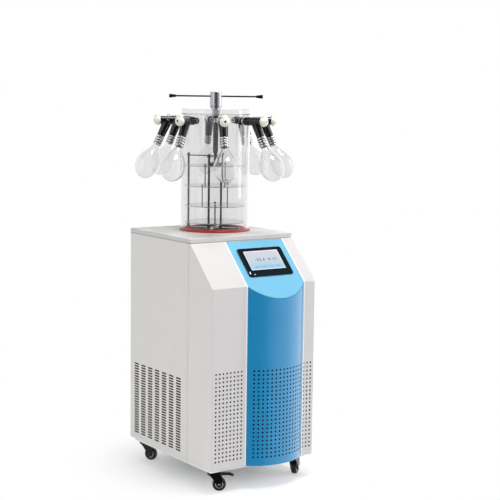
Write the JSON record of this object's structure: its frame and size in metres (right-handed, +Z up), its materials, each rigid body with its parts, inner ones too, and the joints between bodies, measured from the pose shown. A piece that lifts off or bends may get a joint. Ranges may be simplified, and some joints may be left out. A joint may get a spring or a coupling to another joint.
{
  "type": "freeze dryer",
  "caption": "Floor-standing laboratory freeze dryer: castored cabinet with touch screen, clear drying chamber with shelves, screw press and flask valves.",
  "frame": {"origin": "under the middle of the whole object's box, at the floor", "axes": "+Z up; -Y out of the front with the touch screen; +X to the right as seen from the front"},
  "size_m": [0.5954, 0.7306, 1.4553],
  "materials": {
    "body_grey": "fine powder coat, satin",
    "panel_white": "smooth gloss paint",
    "sky_blue": "smooth gloss paint",
    "deep_blue": "smooth gloss paint",
    "black_plastic": "moulded, satin",
    "display": "touch glass over a lit display",
    "black_enamel": "black enamel",
    "fin_aluminium": "plain fins",
    "stainless": "polished stainless steel",
    "brushed_aluminium": "turned and brushed",
    "red_rubber": "moulded silicone rubber",
    "clear_acrylic": "clear polished acrylic",
    "clear_glass": "clear blown glass",
    "black_rubber": "moulded rubber with a soft sheen",
    "cream_plastic": "moulded, slightly glossy",
    "caster_tyre": "black moulded tread"
  },
  "bodies": {
    "cabinet": {"base_pan": "body_grey", "rear_cover": "body_grey", "front_fascia": "panel_white", "lower_front_panel": "deep_blue", "control_panel": "sky_blue", "worktop": "body_grey", "screen_bezel": "black_plastic", "screen_display": "display", "compressor": "black_enamel", "condenser": "fin_aluminium", "cold_trap": "stainless", "gasket": "red_rubber", "drying_chamber": "clear_acrylic", "chamber_lid": "clear_acrylic", "lid_gland": "stainless", "rack_frame": "stainless", "shelf_4": "stainless", "valve_body_1": "black_rubber", "flask_1": "clear_glass", "valve_body_2": "black_rubber", "flask_2": "clear_glass", "valve_body_3": "black_rubber", "flask_3": "clear_glass", "valve_body_4": "black_rubber", "flask_4": "clear_glass", "valve_body_5": "black_rubber", "flask_5": "clear_glass", "valve_body_6": "black_rubber", "flask_6": "clear_glass", "valve_body_7": "black_rubber", "flask_7": "clear_glass", "valve_body_8": "black_rubber", "flask_8": "clear_glass"},
    "fan": {"condenser_fan": "black_plastic"},
    "handle": {"handle_hub": "brushed_aluminium", "handle_bar": "stainless", "handle_grip_left": "black_plastic", "handle_grip_right": "black_plastic"},
    "press": {"press_spindle": "stainless", "shelf_1": "stainless"},
    "hung_shelf_2": {"shelf_2": "stainless"},
    "hung_shelf_3": {"shelf_3": "stainless"},
    "valve_1": {"valve_knob_1": "cream_plastic"},
    "valve_2": {"valve_knob_2": "cream_plastic"},
    "valve_3": {"valve_knob_3": "cream_plastic"},
    "valve_4": {"valve_knob_4": "cream_plastic"},
    "valve_5": {"valve_knob_5": "cream_plastic"},
    "valve_6": {"valve_knob_6": "cream_plastic"},
    "valve_7": {"valve_knob_7": "cream_plastic"},
    "valve_8": {"valve_knob_8": "cream_plastic"},
    "swivel_front_left": {"caster_fork_front_left": "black_plastic"},
    "wheel_front_left": {"caster_wheel_front_left": "caster_tyre"},
    "brake_front_left": {"brake_pedal_front_left": "black_plastic"},
    "swivel_front_right": {"caster_fork_front_right": "black_plastic"},
    "wheel_front_right": {"caster_wheel_front_right": "caster_tyre"},
    "brake_front_right": {"brake_pedal_front_right": "black_plastic"},
    "swivel_rear_left": {"caster_fork_rear_left": "black_plastic"},
    "wheel_rear_left": {"caster_wheel_rear_left": "caster_tyre"},
    "swivel_rear_right": {"caster_fork_rear_right": "black_plastic"},
    "wheel_rear_right": {"caster_wheel_rear_right": "caster_tyre"}
  },
  "joints": [
    {"name": "handle_turn", "type": "hinge", "parent": "cabinet", "child": "handle", "pos_m": [0, 0.06766, 1.4223], "axis": [0, 0, -1], "range_deg": [0, 2160]},
    {"name": "press_travel", "type": "slide", "parent": "cabinet", "child": "press", "axis": [0, 0, -1], "range_m": [0, 0.0241]},
    {"name": "shelf_2_travel", "type": "slide", "parent": "cabinet", "child": "hung_shelf_2", "axis": [0, 0, -1], "range_m": [0, 0.0161]},
    {"name": "shelf_3_travel", "type": "slide", "parent": "cabinet", "child": "hung_shelf_3", "axis": [0, 0, -1], "range_m": [0, 0.0081]},
    {"name": "valve_1_turn", "type": "hinge", "parent": "cabinet", "child": "valve_1", "pos_m": [0, 0.06766, 1.3453], "axis": [-0.4226, -0.9063, 0], "range_deg": [0, 180]},
    {"name": "valve_2_turn", "type": "hinge", "parent": "cabinet", "child": "valve_2", "pos_m": [0, 0.06766, 1.3453], "axis": [0.342, -0.9397, 0], "range_deg": [0, 180]},
    {"name": "valve_3_turn", "type": "hinge", "parent": "cabinet", "child": "valve_3", "pos_m": [0, 0.06766, 1.3453], "axis": [0.9063, -0.4226, 0], "range_deg": [0, 180]},
    {"name": "valve_4_turn", "type": "hinge", "parent": "cabinet", "child": "valve_4", "pos_m": [0, 0.06766, 1.3453], "axis": [0.9397, 0.342, 0], "range_deg": [0, 180]},
    {"name": "valve_5_turn", "type": "hinge", "parent": "cabinet", "child": "valve_5", "pos_m": [0, 0.06766, 1.3453], "axis": [0.4226, 0.9063, 0], "range_deg": [0, 180]},
    {"name": "valve_6_turn", "type": "hinge", "parent": "cabinet", "child": "valve_6", "pos_m": [0, 0.06766, 1.3453], "axis": [-0.342, 0.9397, 0], "range_deg": [0, 180]},
    {"name": "valve_7_turn", "type": "hinge", "parent": "cabinet", "child": "valve_7", "pos_m": [0, 0.06766, 1.3453], "axis": [-0.9063, 0.4226, 0], "range_deg": [0, 180]},
    {"name": "valve_8_turn", "type": "hinge", "parent": "cabinet", "child": "valve_8", "pos_m": [0, 0.06766, 1.3453], "axis": [-0.9397, -0.342, 0], "range_deg": [0, 180]},
    {"name": "swivel_front_left", "type": "hinge", "parent": "cabinet", "child": "swivel_front_left", "pos_m": [-0.215, -0.26734, 0.074], "axis": [0, 0, 1], "continuous": true},
    {"name": "roll_front_left", "type": "hinge", "parent": "swivel_front_left", "child": "wheel_front_left", "pos_m": [-0.19823, -0.27823, 0.025], "axis": [0.5446, 0.8387, 0], "continuous": true},
    {"name": "brake_front_left", "type": "hinge", "parent": "swivel_front_left", "child": "brake_front_left", "pos_m": [-0.1932, -0.2815, 0.0637], "axis": [-0.5446, -0.8387, 0], "range_deg": [0, 12]},
    {"name": "swivel_front_right", "type": "hinge", "parent": "cabinet", "child": "swivel_front_right", "pos_m": [0.151, -0.26734, 0.074], "axis": [0, 0, 1], "continuous": true},
    {"name": "roll_front_right", "type": "hinge", "parent": "swivel_front_right", "child": "wheel_front_right", "pos_m": [0.16697, -0.2553, 0.025], "axis": [-0.6018, 0.7986, 0], "continuous": true},
    {"name": "brake_front_right", "type": "hinge", "parent": "swivel_front_right", "child": "brake_front_right", "pos_m": [0.17177, -0.25169, 0.0637], "axis": [0.6018, -0.7986, 0], "range_deg": [0, 12]},
    {"name": "swivel_rear_left", "type": "hinge", "parent": "cabinet", "child": "swivel_rear_left", "pos_m": [-0.215, 0.21866, 0.074], "axis": [0, 0, 1], "continuous": true},
    {"name": "roll_rear_left", "type": "hinge", "parent": "swivel_rear_left", "child": "wheel_rear_left", "pos_m": [-0.205, 0.20134, 0.025], "axis": [0.866, 0.5, 0], "continuous": true},
    {"name": "swivel_rear_right", "type": "hinge", "parent": "cabinet", "child": "swivel_rear_right", "pos_m": [0.151, 0.21866, 0.074], "axis": [0, 0, 1], "continuous": true},
    {"name": "roll_rear_right", "type": "hinge", "parent": "swivel_rear_right", "child": "wheel_rear_right", "pos_m": [0.16979, 0.21182, 0.025], "axis": [0.342, 0.9397, 0], "continuous": true},
    {"name": "fan_spin", "type": "hinge", "parent": "cabinet", "child": "fan", "pos_m": [-0.032, -0.23914, 0.2336], "axis": [0, 1, 0], "continuous": true}
  ],
  "couplings": [
    {"joint": "press_travel", "follows": "handle_turn", "m_per_rad": 0.00063662},
    {"joint": "shelf_2_travel", "follows": "handle_turn", "m_per_rad": 0.00042441},
    {"joint": "shelf_3_travel", "follows": "handle_turn", "m_per_rad": 0.00021221}
  ]
}
